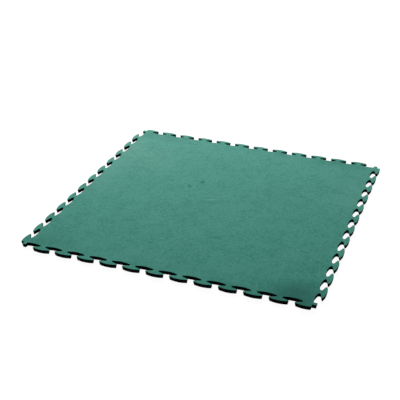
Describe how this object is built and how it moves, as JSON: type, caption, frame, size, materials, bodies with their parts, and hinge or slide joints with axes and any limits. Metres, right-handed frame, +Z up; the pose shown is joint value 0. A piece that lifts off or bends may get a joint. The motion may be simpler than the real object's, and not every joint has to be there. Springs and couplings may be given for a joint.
{
  "type": "interlocking garage floor tile",
  "caption": "Flat square garage floor tile with hooked tabs and slots along every side, which press into the tiles around it to cover a floor without glue.",
  "frame": {"origin": "middle of the underside, on the floor", "axes": "+Z up out of the top face, +X and +Y along the sides; the picture looks from the front (-Y), a little from the right"},
  "size_m": [0.5142, 0.5142, 0.007],
  "materials": {
    "tile": "matt moulded flexible PVC, finely grained green top over black walls"
  },
  "bodies": {
    "root": {"floor_tile": "tile"}
  },
  "joints": []
}
